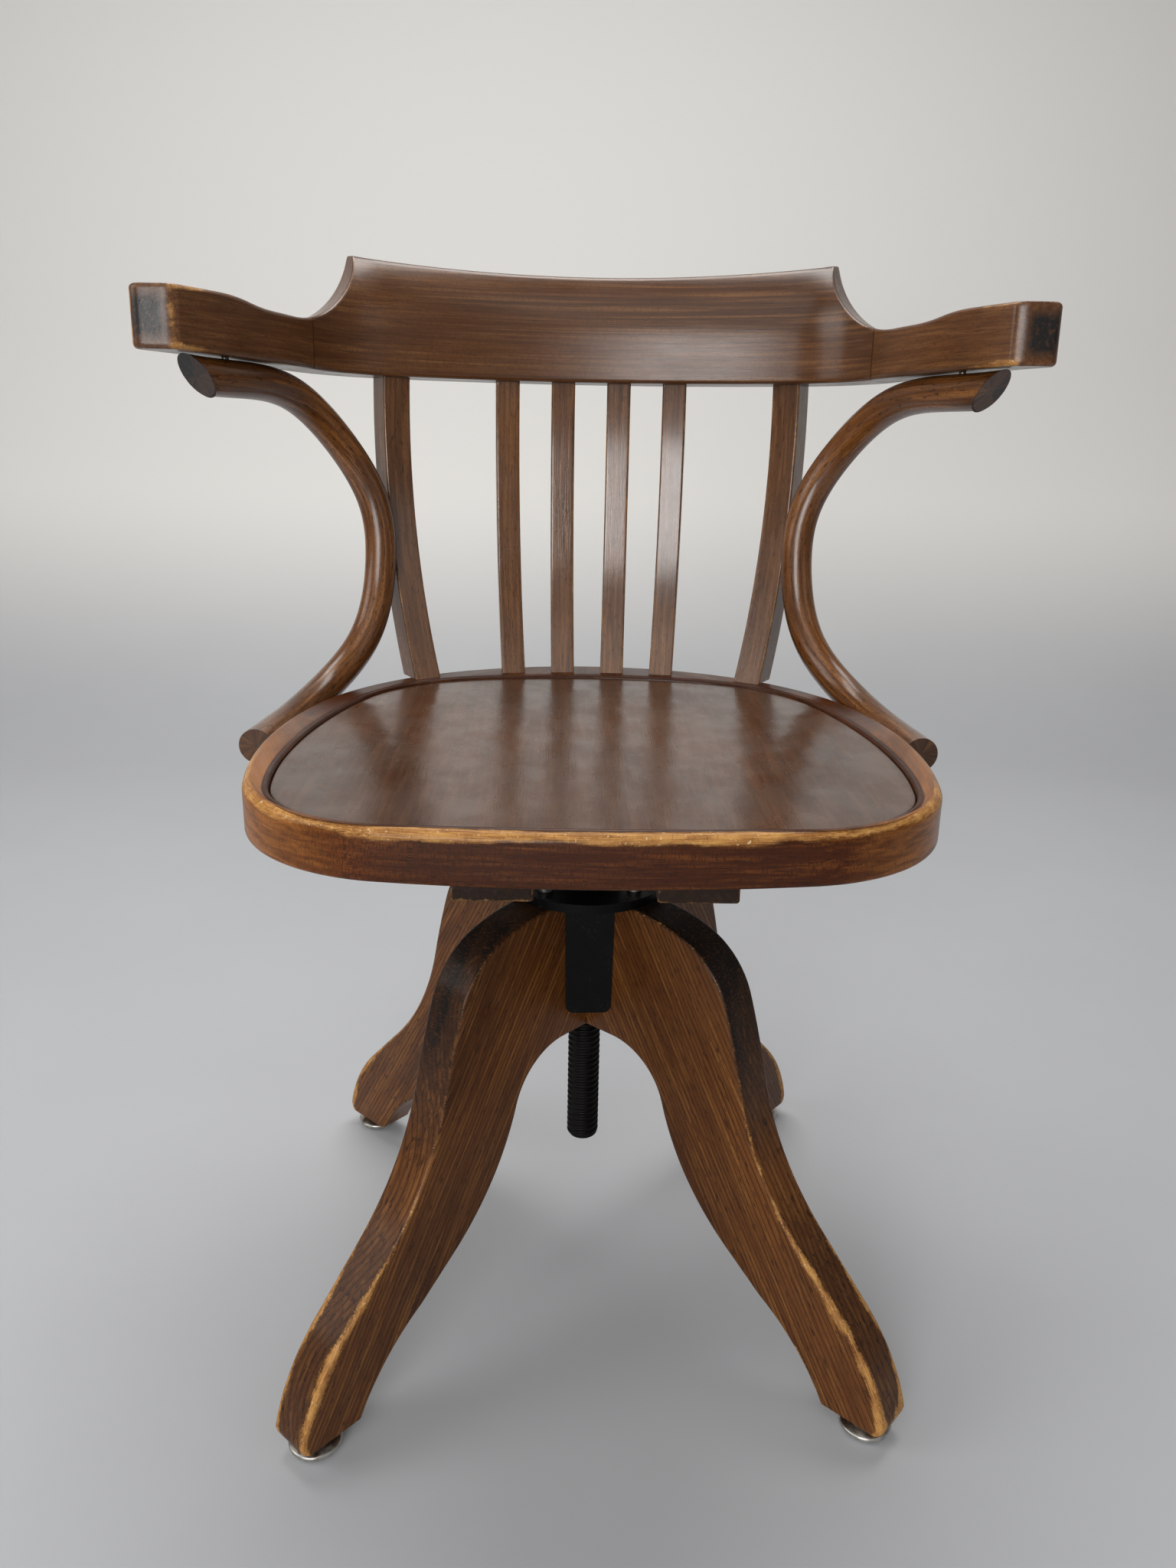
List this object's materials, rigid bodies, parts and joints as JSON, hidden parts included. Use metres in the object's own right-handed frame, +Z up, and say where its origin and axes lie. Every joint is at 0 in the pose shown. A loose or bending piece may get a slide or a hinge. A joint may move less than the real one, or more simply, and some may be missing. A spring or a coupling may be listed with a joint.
{
  "type": "bankers swivel chair",
  "caption": "Bentwood bankers swivel chair: curved crest rail running into arms, slatted back, round bent bows, recessed seat and a screw spindle on a sawn four-leg base.",
  "frame": {"origin": "on the floor under the middle of the four feet, on the spindle's axis", "axes": "+Z up along the spindle, -Y the way the sitter faces, +X to the right of someone facing the chair's front"},
  "size_m": [0.6006, 0.4787, 0.7998],
  "materials": {
    "frame_wood": "semi-gloss walnut-stained beech",
    "slat_wood": "semi-gloss walnut-stained beech",
    "panel_wood": "polished walnut-stained plywood",
    "leg_wood": "semi-gloss stained beech, worn at the arrises",
    "batten_wood": "matt stained beech",
    "black_iron": "black japanned, slightly worn",
    "spindle_steel": "dark oiled steel",
    "screw_steel": "dull steel",
    "nickel": "worn nickel plate",
    "black_rubber": "matt"
  },
  "bodies": {
    "base": {"leg_front_left": "leg_wood", "leg_front_right": "leg_wood", "leg_rear_left": "leg_wood", "leg_rear_right": "leg_wood", "hub_iron": "black_iron", "plate_screws": "screw_steel", "glide_front_left": "nickel", "glide_front_right": "nickel", "glide_rear_left": "nickel", "glide_rear_right": "nickel"},
    "carrier": {"buffer_washer": "black_rubber"},
    "seat": {"spindle": "spindle_steel", "spindle_pin": "spindle_steel", "spider": "black_iron", "spider_screws": "screw_steel", "batten_left": "batten_wood", "batten_right": "batten_wood", "batten_screws": "screw_steel", "seat_ring": "frame_wood", "seat_panel": "panel_wood", "stile_left": "slat_wood", "stile_right": "slat_wood", "slat_1": "slat_wood", "slat_2": "slat_wood", "slat_3": "slat_wood", "slat_4": "slat_wood", "back_rail": "frame_wood", "arm_left": "frame_wood", "arm_right": "frame_wood", "bow_left": "frame_wood", "bow_right": "frame_wood", "bow_screws": "screw_steel"}
  },
  "joints": [
    {"name": "seat_lift", "type": "slide", "parent": "base", "child": "carrier", "axis": [0, 0, 1], "range_m": [-0.0242, 0.0842]},
    {"name": "seat_turn", "type": "hinge", "parent": "carrier", "child": "seat", "pos_m": [0, 0, 0.4], "axis": [0, 0, 1], "range_deg": [-1728, 6048]}
  ],
  "couplings": [
    {"joint": "seat_lift", "follows": "seat_turn", "m_per_rad": 0.00079577}
  ]
}
